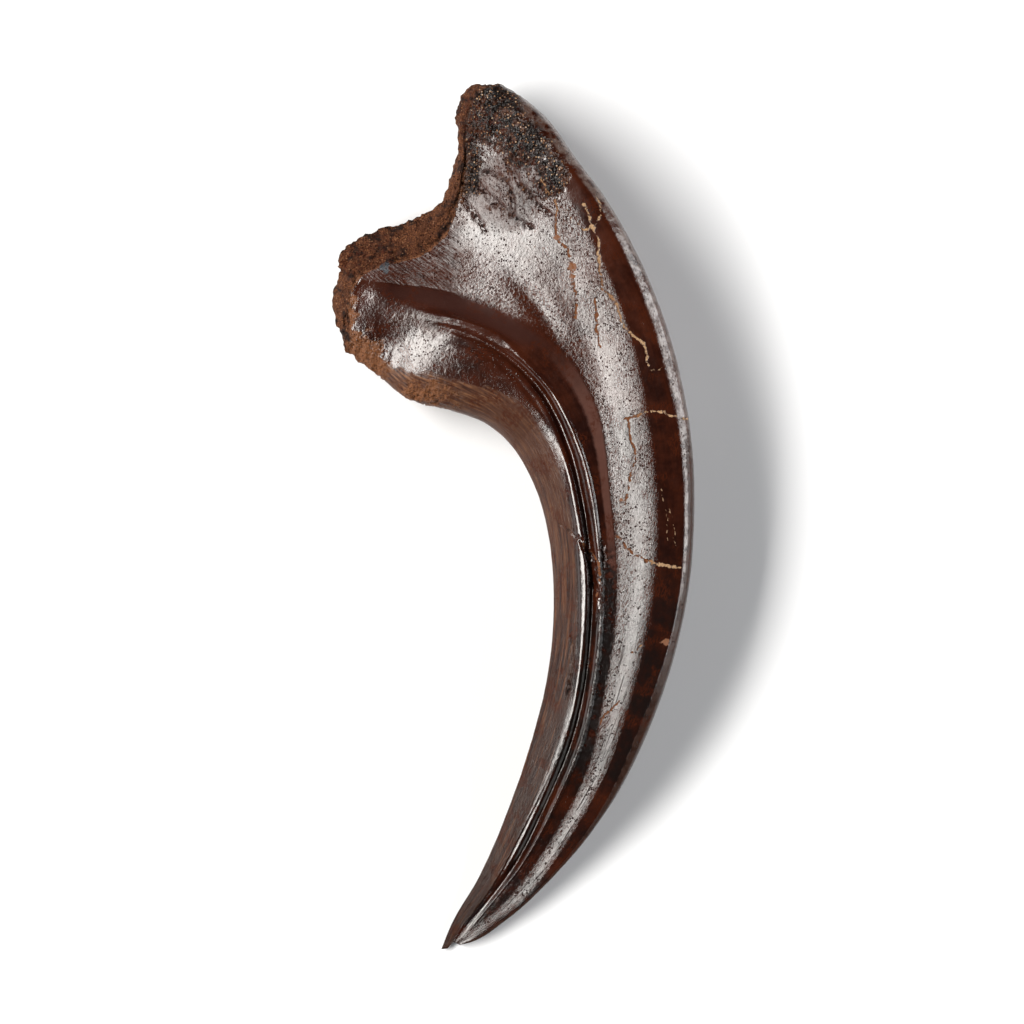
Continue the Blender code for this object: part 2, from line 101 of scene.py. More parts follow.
clawForm = {
    "rows": 503, "columns": 141, "faceRows": 24,  # odd rows in all, odd columns
    "rowCrowding": 1.03,  # above 1 the rows stand closer at the joint
    # columns, as shares of their number and of the way across: closer together at the edges
    "columnPlaces": (
        (0, 0), (0.02, 0.002), (0.05, 0.012), (0.10, 0.045), (0.95, 0.965), (0.98, 0.995), (1, 1),
    ),
    "mergeWithin": 0.004, "dissolveWithin": 0.002,
    "edgePoints": 900, "linePoints": 700, "valleyPoints": 300,  # how finely the curves are followed
    "traceRows": 110, "traceColumns": 500,  # how finely the crossings are looked for
    # the middle surface: its height along y, and its rise toward the back
    "middle": (
        (70, 7.5), (33, 6.5), (0, 5.9), (-14, 5.7), (-24, 5.2), (-31, 4.6), (-41, 3.3), (-49, 2.5),
        (-56, 1.9), (-67, 1.4),
    ),
    "slopeAcross": 0.09,
    "innerBulge": (3.0, 3.0, 2.3, 1.4, 1.2, 1.2, 1.2, 1.2, 1.2, 1.2, 1.3), "backBulge": 2.3,
    "chamfer": (0.6, 0.13),  # how far it reaches from the crest to the edge, and the height it takes
    "cornerSoftness": 0.045,
    "underFullness": 1.0,
    "jointFace": (
        (-24.9, 24.8), (-26.1, 27.8), (-27.1, 32.2), (-26.4, 36.5), (-26.1, 39.4), (-24.3, 41.4),
        (-20.3, 43.1), (-14.5, 45.0), (-11.0, 47.6), (-9.6, 50.5), (-8.3, 55.8), (-8.4, 61.6),
        (-7.0, 64.3), (-5.2, 65.0), (-3.6, 64.5), (-2.0, 65.0),
    ),
    "jointRim": (
        (-24.9, 24.8), (-24.6, 28.5), (-24.9, 32.0), (-23.0, 36.4), (-19.5, 37.9), (-14.0, 39.5),
        (-10.6, 42.2), (-8.6, 47.0), (-7.3, 53.6), (-6.9, 60.5), (-5.4, 63.7), (-2.0, 65.0),
    ),
    "backEdge": (
        (-2.0, 65.0), (1.8, 62.7), (5.4, 59.4), (9.2, 54.0), (13.9, 47.7), (18.9, 38.7), (22.7, 29.4),
        (25.2, 20.4), (26.8, 10.5), (27.1, 1.9), (26.5, -9.0), (24.6, -19.0), (21.0, -30.2),
        (15.2, -42.2), (11.1, -48.2), (5.7, -54.4), (-1.0, -60.6), (-5.9, -63.8), (-8.0, -64.4),
    ),
    "innerEdge": (
        (-24.9, 24.8), (-20.9, 21.8), (-15.8, 17.8), (-9.2, 16.0), (-4.0, 14.0), (-0.4, 10.9),
        (2.8, 5.6), (4.9, -0.8), (5.9, -8.0), (6.0, -15.5), (5.0, -24.5), (2.9, -33.0),
        (-0.8, -44.0), (-5.0, -53.8), (-9.5, -61.7), (-10.8, -65.0),
    ),
    "tipEdge": ((-10.8, -65.0), (-10.0, -64.9), (-9.1, -64.0), (-8.0, -64.4)),
    "rowStarts": (0.0, 0.12, 0.23, 0.33, 0.44, 0.56, 0.70, 0.85, 1.0),
    "rowEnds": (0.0, 0.12, 0.25, 0.37, 0.50, 0.61, 0.74, 0.87, 1.0),
    # lines that shape the side: x, y and height above the table
    "innerLip": (
        (-25.9, 28.1, 5.4), (-21.2, 27.5, 6.0), (-17.0, 27.4, 7.0), (-12.5, 27.4, 8.6), (-8.0, 26.5, 10.1),
        (-4.3, 25.0, 10.9), (-0.5, 22.3, 11.3), (2.5, 19.1, 11.6), (7.0, 11.9, 11.9), (9.4, 2.8, 12.0),
        (10.6, -8.6, 11.7), (10.1, -24.4, 10.3), (9.0, -31.0, 9.1), (7.1, -36.7, 7.6), (2.5, -46.6, 4.6),
        (-3.5, -57.4, 2.2), (-9.5, -64.1, 0.9),
    ),
    "outerLip": (
        (-26.3, 32.6, 6.0), (-21.5, 31.9, 6.8), (-17.0, 31.0, 7.9), (-11.0, 29.9, 9.7), (-6.5, 28.6, 10.8),
        (-2.0, 26.5, 11.5), (1.1, 23.5, 11.9), (5.9, 17.8, 12.3), (9.8, 9.4, 12.6), (12.2, -3.0, 12.5),
        (12.7, -12.4, 12.2), (11.2, -27.4, 10.6), (9.6, -34.0, 9.1), (7.3, -39.4, 7.7), (1.3, -51.1, 4.0),
        (-6.5, -61.1, 1.6), (-8.6, -64.0, 1.0),
    ),
    "crestFoot": (
        (-26.3, 36.4, 5.9), (-21.2, 35.5, 6.0), (-16.5, 35.0, 6.4), (-12.5, 34.7, 7.1), (-5.0, 33.4, 9.2),
        (1.0, 30.0, 11.0), (6.8, 26.0, 12.0), (12.3, 17.6, 12.5), (14.7, 2.6, 12.4), (15.6, -12.4, 12.0),
        (13.5, -27.4, 10.4), (11.8, -36.4, 8.4), (9.2, -42.4, 6.6), (4.5, -50.6, 4.1), (-0.6, -57.4, 2.4),
        (-8.6, -64.1, 1.1),
    ),
    "crestMiddle": (
        (-12.0, 40.9, 6.8), (-6.0, 40.5, 8.8), (0.0, 38.5, 11.1), (5.0, 34.5, 12.35), (9.0, 29.5, 12.8),
        (12.4, 23.5, 13.1), (15.0, 16.0, 13.7), (16.8, 8.0, 13.8), (17.8, 2.6, 13.7), (18.0, -12.4, 13.0),
        (15.3, -27.4, 11.2), (13.1, -36.4, 9.0), (10.3, -42.4, 7.1), (5.5, -50.6, 4.5), (0.5, -57.3, 2.8),
        (-6.6, -62.9, 1.55), (-8.45, -64.15, 1.15),
    ),
    "shoulder": (
        (-4.6, 62.0, 9.3), (0.0, 56.0, 12.5), (5.0, 50.0, 14.6), (8.7, 45.9, 15.35), (11.2, 41.0, 15.65),
        (13.5, 36.5, 15.8), (15.4, 32.0, 15.8), (17.2, 26.0, 15.6), (19.2, 16.0, 15.25), (20.8, 2.6, 14.9),
        (20.1, -12.4, 13.9), (17.0, -27.4, 11.9), (14.3, -36.4, 9.5), (11.4, -42.4, 7.6), (6.5, -50.6, 4.9),
        (1.6, -57.2, 3.2), (-4.6, -61.6, 2.0), (-8.3, -64.2, 1.2),
    ),
    "backCrest": (
        (-3.2, 63.8, 9.5), (2.4, 59.3, 12.9), (8.5, 52.2, 15.8), (12.3, 46.9, 16.3), (15.4, 41.4, 16.4),
        (17.9, 35.8, 16.3), (20.4, 29.2, 16.1), (22.5, 21.7, 15.9), (24.4, 14.0, 15.5), (25.2, 6.0, 15.2),
        (25.4, -1.0, 14.9), (24.9, -10.0, 14.3), (23.2, -19.0, 13.2), (20.3, -27.4, 12.0),
        (17.6, -34.0, 10.4), (13.9, -42.4, 7.9), (9.6, -49.0, 5.6), (4.4, -55.2, 3.9), (-2.2, -60.9, 2.5),
        (-8.0, -64.4, 1.4),
    ),
    "groove": (
        (-15.0, 29.4), (-8.0, 27.7), (-2.0, 24.7), (4.0, 19.0), (8.2, 10.6), (10.6, 0.8), (11.8, -10.1),
        (11.5, -18.4), (9.2, -32.2), (4.7, -43.6), (0.7, -51.5), (-6.2, -60.7), (-9.2, -64.2),
    ),
    "grooveDepth": (0.0, 0.5, 0.9, 1.0, 1.0, 1.1, 1.3, 1.4, 1.3, 0.9, 0.6),
    "grooveHalfWidth": 0.58,
    # shallow valleys: line, depth, width to the left and to the right of the line
    "valleys": (
        (((-18.0, 32.0), (-12.5, 31.6), (-7.0, 30.9), (-2.5, 29.0), (2.0, 25.8)), 0.35, 2.6, 1.1),
        (((-3.0, 38.5), (0.5, 35.2), (3.5, 31.6), (6.0, 28.0), (8.2, 23.5)), 0.5, 1.5, 1.3),
    ),
    # the two raised lips: name of the line, middle, half width and height of the flat top beside it
    "lips": (("innerLip", -0.05, 0.55, 0.06), ("outerLip", 0.1, 0.42, 0.06)),
    "lipSlope": (0.20, 0.22, 0.26, 0.38, 0.45, 0.48, 0.48, 0.48, 0.48, 0.48, 0.48),  # joint to tip
    "lipFade": 0.32,
    "lipStart": (0.10, 0.22), "lipEnd": 0.15,  # shares of its length where a lip rises and fades
    "reliefFrom": 1.5,  # relief is full where the side is this high above the middle surface
    "swellings": (
        (-22.5, 27.5, 0.5, 3.6, 3.4), (-15.5, 22.0, 0.5, 4.2, 2.6), (-20.0, 33.5, 0.3, 2.4, 2.0),
        (-4.6, 58.0, 0.4, 1.6, 3.0), (2.5, 54.5, -0.35, 2.6, 2.2), (-1.5, 61.8, -0.3, 1.0, 1.4),
    ),
    "faceHollow": 1.1, "faceCrowding": 0.8, "faceRoundness": 1.5,
    # where the bone is open and rough: x, y, radius along x and y, how much
    "porousSpots": (
        (-4.0, 60.5, 9.5, 8.5, 1.1), (-7.0, 53.0, 4.5, 9.5, 1.0), (2.0, 55.5, 7.0, 7.5, 0.9),
        (0.5, 47.5, 8.5, 8.5, 0.42), (5.4, 51.0, 4.6, 6.0, 0.95), (-23.5, 23.5, 8.0, 8.0, 1.0),
        (-26.5, 31.0, 5.0, 8.5, 1.0), (-13.0, 18.0, 10.5, 4.5, 0.62),
    ),
    # the side it lies on: x, y, how much fuller, radius
    "underShape": (
        (16.5, 32.0, 0.65, 6.0), (-15.0, 30.0, 2.9, 6.5), (-1.0, -59.3, 0.85, 2.8), (19.0, -15.0, -0.9, 24.0),
    ),
}


def plan(along, across):
    # place seen from above: a straight row bent to meet the joint and the tip
    form = clawForm
    stops = np.linspace(0, 1, len(form["rowStarts"]))
    fine = form["edgePoints"]
    start = pick(curveThrough(form["innerEdge"], fine), np.interp(along, stops, form["rowStarts"]))
    end = pick(curveThrough(form["backEdge"], fine), np.interp(along, stops, form["rowEnds"]))
    place = start + (end - start) * across[..., None]
    for edge, weight in (
        (form["jointRim"], (1 - ease(along / 0.5)) ** 1.5),
        (form["tipEdge"], ease((along - 0.94) / 0.06)),
    ):
        bend = curveThrough(edge, fine)
        chord = bend[0] + (bend[-1] - bend[0]) * across[..., None]
        place = place + weight[..., None] * (pick(bend, across) - chord)
    return place


def crossings(lines, along):
    # share across each row where a shaping line crosses it, and its height there
    coarse = np.linspace(0, 1, clawForm["traceRows"])
    across = np.linspace(0, 1, clawForm["traceColumns"])
    found = []
    rows = [plan(np.full_like(across, share), across) for share in coarse]
    for points in lines:
        curve = curveThrough(points, clawForm["edgePoints"])
        hits = []
        for row in rows:
            apart = (row[:, None, 0] - curve[:, 0]) ** 2 + (row[:, None, 1] - curve[:, 1]) ** 2
            i, k = np.unravel_index(apart.argmin(), apart.shape)
            hits.append((across[i], curve[k, 2]))
        hits = np.array(hits)
        padded = np.pad(hits, ((2, 2), (0, 0)), mode="edge")
        smooth = sum(padded[k:k + len(hits)] for k in range(5)) / 5
        found.append(np.stack([np.interp(along, coarse, smooth[:, k]) for k in (0, 1)], axis=1))
    return np.array(found)


def middleHeight(x, y):
    along = curveThrough(clawForm["middle"][::-1], clawForm["valleyPoints"])
    return np.interp(y, along[:, 0], along[:, 1]) + clawForm["slopeAcross"] * x


def overMiddle(line):
    x, y, height = np.array(line).T
    return np.stack([x, y, height - middleHeight(x, y)], axis=1)


def sideHeight(across, crossed, innerBulge):
    # height along one row: rounded edges, and nearly flat stretches between the shaping lines
    place, level = crossed.T
    way, loss = clawForm["chamfer"]
    place = np.append(place, place[-1] + (1 - place[-1]) * way)
    level = np.append(level, level[-1] * (1 - loss))

    def sharp(across):
        rise = level[0] * rounded(across / place[0], innerBulge)
        fall = level[-1] * rounded((1 - across) / (1 - place[-1]), clawForm["backBulge"])
        flat = np.interp(across, place, level)
        return np.where(across < place[0], rise, np.where(across > place[-1], fall, flat))

    fromEdge = np.minimum(across, 1 - across)
    reach = clawForm["cornerSoftness"] * np.clip(fromEdge / 0.1, 0, 1)
    steps = np.linspace(-1, 1, 17)
    weight = np.cos(steps * math.pi / 2) ** 2
    return sum(w * sharp(across + step * reach) for step, w in zip(steps, weight)) / weight.sum()


def relief(x, y, height):
    # adds the lips, the groove, the valleys and the swellings to the smooth side
    form = clawForm
    rises, full = form["lipStart"]
    for lip, centre, half, rise in form["lips"]:
        line = curveThrough(overMiddle(form[lip]), form["linePoints"])
        apart, share, side = beside(x, y, line)
        slope = np.interp(share, np.linspace(0, 1, len(form["lipSlope"])), form["lipSlope"])
        flat = pick(line, share)[..., 2] + rise + slope * side
        weight = ease(1 - (np.abs(side - centre) - half) / form["lipFade"])
        weight = weight * ease((share - rises) / (full - rises)) * ease((1 - share) / form["lipEnd"])
        height = height + (flat - height) * weight
    apart, share, side = beside(x, y, curveThrough(form["groove"], form["linePoints"]))
    depth = np.interp(share, np.linspace(0, 1, len(form["grooveDepth"])), form["grooveDepth"])
    change = -depth * bell(apart / form["grooveHalfWidth"])
    for line, deepest, left, right in form["valleys"]:
        apart, share, side = beside(x, y, curveThrough(line, form["valleyPoints"]))
        change -= deepest * np.sin(np.pi * share) ** 2 * bell(side / np.where(side > 0, left, right))
    for centreX, centreY, rise, radiusX, radiusY in form["swellings"]:
        change += rise * bell((x - centreX) / radiusX) * bell((y - centreY) / radiusY)
    return height + change * np.clip(height / form["reliefFrom"], 0, 1)


def clawGrid():
    # rows of points from the middle of the joint face to the tip, with what the finish needs to know of each
    form = clawForm
    along = np.linspace(0, 1, form["rows"]) ** form["rowCrowding"]
    shaping = ("innerLip", "outerLip", "crestFoot", "crestMiddle", "shoulder", "backCrest")
    lines = crossings([overMiddle(form[name]) for name in shaping], along)
    even = np.linspace(0, 1, form["columns"])
    spread = np.interp(even, *np.array(form["columnPlaces"]).T)
    spread = np.convolve(np.pad(spread, 3, mode="edge"), np.full(7, 1 / 7), "valid")
    spread[0] = 0
    spread[-1] = 1
    places = np.stack([plan(np.full(len(spread), share), spread) for share in along])
    bulge = np.interp(along, np.linspace(0, 1, len(form["innerBulge"])), form["innerBulge"])
    height = np.stack([sideHeight(spread, lines[:, row], bulge[row]) for row in range(len(along))])
    x = places[..., 0]
    y = places[..., 1]
    height = relief(x, y, height)
    height[-1] *= 0.5
    # lane runs 0 at the inner edge, 1 to 5 at the shaping lines, 6 at the back
    laneMarks = (0, 1, 2, 3, 3.5, 4, 5, 6)
    lane = np.stack([
        np.interp(spread, np.concatenate([[0], lines[:, row, 0], [1]]), laneMarks)
        for row in range(len(along))
    ])
    stepLength = np.hypot(np.diff(x, axis=0), np.diff(y, axis=0))
    fromRim = np.concatenate([[np.zeros(len(spread))], np.cumsum(stepLength, axis=0)])
    keel = pick(curveThrough(form["jointFace"], form["edgePoints"]), spread)
    rim = places[0]
    scoop = form["faceHollow"] * np.sin(np.pi * np.clip((spread - 0.1) / 0.85, 0, 1))
    steps = np.linspace(0, 1, form["faceRows"] + 1)[:-1]
    ways = steps ** form["faceCrowding"]
    face = np.stack([keel + (rim - keel) * way for way in ways])
    faceHeight = np.stack([
        height[0] * rounded(step, form["faceRoundness"]) + scoop * np.sin(np.pi * step) * 0.5
        for step in steps
    ])
    faceDepth = np.stack([-np.hypot(*(rim - keel).T) * (1 - way) for way in ways])
    x = np.vstack([face[..., 0], x])
    y = np.vstack([face[..., 1], y])
    height = np.vstack([faceHeight, height])
    height[:, 0] = 0
    height[:, -1] = 0
    lane = np.vstack([np.repeat(lane[:1], len(steps), axis=0), lane])
    fromRim = np.vstack([faceDepth, fromRim])
    porous = np.clip(1 - (fromRim + 0.2) / 0.9, 0, 1)
    for centreX, centreY, radiusX, radiusY, amount in form["porousSpots"]:
        near = np.hypot((x - centreX) / radiusX, (y - centreY) / radiusY)
        porous = np.maximum(porous, amount * (1 - ease(near)))
    flow = np.stack([np.tile(spread * 26, (len(x), 1)), fromRim, 0 * x], axis=-1)
    return x, y, height, {"lane": lane, "fromRim": fromRim, "porous": porous, "flow": flow}


def undersideFaces(index):
    # squares two rows and two columns wide, with the border's middle points as extra corners
    rows, columns = index.shape
    faces = []
    for r in range(0, rows - 1, 2):
        for c in range(0, columns - 1, 2):
            loop = [index[r, c]]
            if c == 0:
                loop.append(index[r + 1, 0])
            loop.append(index[r + 2, c])
            if r + 3 == rows:
                loop.append(index[r + 2, c + 1])
            loop.append(index[r + 2, c + 2])
            if c + 3 == columns:
                loop.append(index[r + 1, c + 2])
            loop.append(index[r, c + 2])
            if r == 0:
                loop.append(index[0, c + 1])
            faces.append([int(corner) for corner in loop[::-1]])
    return faces


def makeClaw():
    form = clawForm
    x, y, height, notes = clawGrid()
    middle = middleHeight(x, y)
    under = height * form["underFullness"]
    for centreX, centreY, extra, radius in form["underShape"]:
        near = bell(np.hypot(x - centreX, y - centreY) / radius)
        under = under + extra * near * np.clip(height / 2, 0, 1)
    rows, columns = x.shape
    points = np.concatenate([
        np.stack([x, y, middle + height], axis=-1).reshape(-1, 3),
        np.stack([x, y, np.maximum(middle - under, 0)], axis=-1).reshape(-1, 3),
    ]) * mm
    index = np.arange(rows * columns).reshape(rows, columns)
    corners = [index[:-1, :-1], index[1:, :-1], index[1:, 1:], index[:-1, 1:]]
    top = np.stack(corners, axis=-1).reshape(-1, 4).tolist()
    end = index[-1]
    cap = np.stack([end[:-1], end[:-1] + rows * columns, end[1:] + rows * columns, end[1:]], axis=-1).tolist()
    mesh = bpy.data.meshes.new("clawBlank")
    mesh.from_pydata(points.tolist(), [], top + undersideFaces(index + rows * columns) + cap)
    for name, values in notes.items():
        vector = values.ndim == 3
        note = mesh.attributes.new(name, "FLOAT_VECTOR" if vector else "FLOAT", "POINT")
        both = np.concatenate([values.reshape(rows * columns, -1)] * 2)
        note.data.foreach_set("vector" if vector else "value", both.ravel().astype(np.float32))
    work = bmesh.new()
    work.from_mesh(mesh)
    bmesh.ops.delete(work, geom=[v for v in work.verts if not v.link_faces], context="VERTS")
    bmesh.ops.remove_doubles(work, verts=work.verts, dist=form["mergeWithin"] * mm)
    bmesh.ops.dissolve_degenerate(work, edges=work.edges, dist=form["dissolveWithin"] * mm)
    bmesh.ops.recalc_face_normals(work, faces=work.faces)
    work.to_mesh(mesh)
    work.free()
    mesh.shade_smooth()
    blank = bpy.data.objects.new("clawBlank", mesh)
    bpy.context.scene.collection.objects.link(blank)
    print("claw blank:", len(mesh.vertices), "points")
    return blank


blank = makeClaw()


class Link:
    # one output socket; sums and products of links add their Math nodes
    def __init__(self, tree, socket):
        self.tree = tree
        self.socket = socket

    def math(self, operation, *others):
        return self.tree.node("ShaderNodeMath", {"operation": operation}, dict(enumerate((self,) + others)))

    def __add__(self, other):
        return self.math("ADD", other)

    def __radd__(self, other):
        return self.math("ADD", other)

    def __sub__(self, other):
        return self.math("SUBTRACT", other)

    def __rsub__(self, other):
        return self.tree.node("ShaderNodeMath", {"operation": "SUBTRACT"}, {0: other, 1: self})

    def __mul__(self, other):
        return self.math("MULTIPLY", other)

    def __rmul__(self, other):
        return self.math("MULTIPLY", other)

    def __truediv__(self, other):
        return self.math("DIVIDE", other)

    def __rtruediv__(self, other):
        return self.tree.node("ShaderNodeMath", {"operation": "DIVIDE"}, {0: other, 1: self})

    def atMost(self, other):
        return self.math("MINIMUM", other)

    def atLeast(self, other):
        return self.math("MAXIMUM", other)

    def step(self, low, high, unit=None):
        # 0 at low, 1 at high, smooth between; low may be the larger
        if unit is not None:
            return (self / unit).step(low, high)
        if low > high:
            return 1 - self.step(high, low)
        sockets = {"Value": self, "From Min": low, "From Max": high}
        return self.tree.node("ShaderNodeMapRange", {"interpolation_type": "SMOOTHSTEP"}, sockets)

    def within(self, begins, full, fades, ends):
        # 1 between full and fades, 0 before begins and after ends
        return self.step(begins, full) * self.step(ends, fades)


class Tree:
    def __init__(self, tree):
        self.tree = tree

    def node(self, kind, settings=None, sockets=None, result=0):
        made = self.tree.nodes.new(kind)
        for name, value in (settings or {}).items():
            setattr(made, name, value)
        for name, value in (sockets or {}).items():
            if isinstance(value, Link):
                self.tree.links.new(value.socket, made.inputs[name])
            else:
                made.inputs[name].default_value = value
        return Link(self, made.outputs[result])

    def mix(self, factor, first, second):
        first = first if isinstance(first, Link) else (*first, 1)
        second = second if isinstance(second, Link) else (*second, 1)
        return self.node("ShaderNodeMix", {"data_type": "RGBA"}, {0: factor, 6: first, 7: second}, 2)

    def scaled(self, vector, amount):
        if isinstance(amount, tuple):
            return self.node("ShaderNodeVectorMath", {"operation": "MULTIPLY"}, {0: vector, 1: amount})
        return self.node("ShaderNodeVectorMath", {"operation": "SCALE"}, {0: vector, "Scale": amount})

    def added(self, vector, other):
        return self.node("ShaderNodeVectorMath", {"operation": "ADD"}, {0: vector, 1: other})

    def noise(self, vector, scale, detail=3, roughness=0.55, distortion=0, colour=False):
        sockets = {"Vector": vector, "Scale": scale, "Detail": detail}
        sockets.update({"Roughness": roughness, "Distortion": distortion})
        return self.node("ShaderNodeTexNoise", {}, sockets, 1 if colour else 0)

    def cells(self, vector, scale):
        # distance to the nearest of many scattered points
        return self.node("ShaderNodeTexVoronoi", {}, {"Vector": vector, "Scale": scale})

    def cellKind(self, vector, scale):
        # a number from 0 to 1 for each of those points
        colour = self.node("ShaderNodeTexVoronoi", {}, {"Vector": vector, "Scale": scale}, 1)
        return self.node("ShaderNodeSeparateColor", {}, {0: colour})


clawDetail = {
    # cracks as seen from above, x and y in mm, with how wide each is
    "cracks": (
        (1.0, (
            (4.1, 50.6), (5.3, 48.4), (6.4, 46.9), (6.3, 44.2), (6.5, 41.9), (7.9, 40.1), (8.9, 37.4),
            (9.0, 35.2), (9.4, 32.6), (9.2, 29.6),
        )),
        (1.2, (
            (10.4, 46.9), (11.3, 45.0), (11.8, 43.4), (12.5, 42.1), (12.7, 40.1), (13.0, 36.4), (13.4, 34.1),
            (14.8, 32.6), (15.7, 31.1), (16.3, 28.9), (17.5, 27.4), (19.0, 26.3), (19.7, 24.8), (20.2, 22.7),
        )),
        (0.8, ((11.8, 43.4), (12.8, 44.6), (13.0, 45.8), (12.6, 47.6))),
        (0.8, ((11.8, 43.4), (10.4, 43.0), (9.6, 43.9))),
        (0.7, ((12.2, 32.6), (12.4, 30.1), (12.4, 28.1), (13.0, 25.4))),
        (0.9, (
            (16.7, 14.8), (18.5, 15.2), (19.7, 15.7), (22.0, 15.7), (23.6, 15.1), (25.0, 14.9), (26.5, 14.6),
        )),
        (0.9, ((17.2, 14.8), (17.3, 12.4), (18.1, 10.1), (18.2, 8.6), (17.5, 6.4), (17.0, 3.4), (16.6, 1.9))),
        (1.5, (
            (7.9, -1.4), (8.9, -2.4), (10.4, -4.1), (11.5, -5.2), (12.5, -6.4), (12.7, -9.4), (12.4, -12.4),
        )),
        (1.0, (
            (15.4, -2.9), (16.0, -3.4), (17.0, -4.6), (18.2, -5.6), (19.3, -6.2), (20.8, -6.7), (23.2, -7.3),
            (25.0, -7.6),
        )),
        (0.9, ((16.0, -27.4), (13.7, -29.6), (13.0, -30.7))),
        (0.8, ((19.0, -19.1), (17.8, -20.2))),
    ),
    "hairlines": (
        (1.0, ((23.2, 1.9), (23.8, -1.0), (24.1, -4.1))),
        (1.0, ((-5.0, 23.6), (-3.5, 19.1), (-2.0, 17.6), (2.5, 13.9), (5.5, 10.9))),
        (1.0, ((22.0, 4.2), (22.8, 0.6), (23.0, -3.4))),
        (1.0, ((7.6, 46.6), (8.8, 43.6), (9.0, 41.0))),
        (1.0, ((19.8, 22.4), (21.4, 21.8), (22.6, 22.6))),
        (1.0, ((2.0, 44.6), (3.4, 42.0), (3.0, 39.0))),
    ),
    # broader gouges in the bruise beside the horn, with dirt in them
    "gouges": (
        (1.0, ((-5.4, 49.3), (-3.1, 47.8), (-0.4, 45.4))),
        (1.2, ((-7.6, 48.5), (-5.7, 45.3), (-4.2, 42.9))),
        (0.8, ((-4.2, 51.9), (-1.4, 50.2), (-0.1, 47.4), (-0.3, 45.1))),
        (0.7, ((1.6, 49.1), (3.3, 47.0), (5.5, 45.1))),
        (0.8, ((-6.6, 50.4), (-4.9, 49.6), (-3.6, 47.6), (-1.9, 45.9))),
        (0.6, ((-1.6, 53.4), (0.2, 51.6), (0.9, 49.6), (2.4, 48.6))),
        (0.6, ((-0.4, 45.4), (1.0, 44.2), (2.6, 43.2))),
        (1.3, ((7.1, -1.2), (8.9, -2.4), (10.4, -4.1), (11.8, -6.0), (12.6, -8.8))),
        (0.9, ((10.2, -3.6), (11.4, -7.4), (11.9, -10.6))),
        (0.7, ((13.0, -3.5), (13.4, -6.4), (13.0, -9.6))),
        (0.8, ((12.4, -10.2), (13.0, -12.6), (12.3, -15.4))),
        (0.6, ((8.6, -18.0), (8.9, -22.5), (7.9, -27.0))),
    ),
    "stepsPerPoint": 8,  # how finely the lines are laid on the claw
    # changes per mm, detail, roughness
    "noises": {
        "broadWaves": (0.16, 2), "smallWaves": (0.55, 3), "lumps": (0.55, 5, 0.68), "poreAreas": (0.35, 2),
    },
    "gougeWidth": 0.42, "gougeDepth": 0.26,
    "crackWidth": 0.22, "crackDepth": 0.05, "crackWander": 1.5,
    "hairlineWidth": 0.12, "hairlineDepth": 0.05,
    "lumpDepth": 1.0, "poreSpacing": 0.95, "poreDepth": 0.6,
    "waveDepth": 0.10, "fibreDepth": 0.05, "furrowDepth": 0.12,
}


def drapedCurves(name, lines, surface):
    # open lines laid on the upper side of the claw
    wellAbove = 0.1
    curve = bpy.data.curves.new(name, "CURVE")
    curve.dimensions = "3D"
    tree = BVHTree.FromObject(surface, bpy.context.evaluated_depsgraph_get())
    for width, points in lines:
        laid = []
        for x, y in curveThrough(points, clawDetail["stepsPerPoint"] * len(points)):
            hit = tree.ray_cast(Vector((x * mm, y * mm, wellAbove)), Vector((0, 0, -1)))[0]
            if hit:
                laid.append((*hit, 1))
        spline = curve.splines.new("POLY")
        spline.points.add(len(laid) - 1)
        spline.points.foreach_set("co", np.array(laid, np.float32).ravel())
        spline.points.foreach_set("radius", np.full(len(laid), width, np.float32))
    lying = bpy.data.objects.new(name, curve)
    bpy.context.scene.collection.objects.link(lying)
    return lying


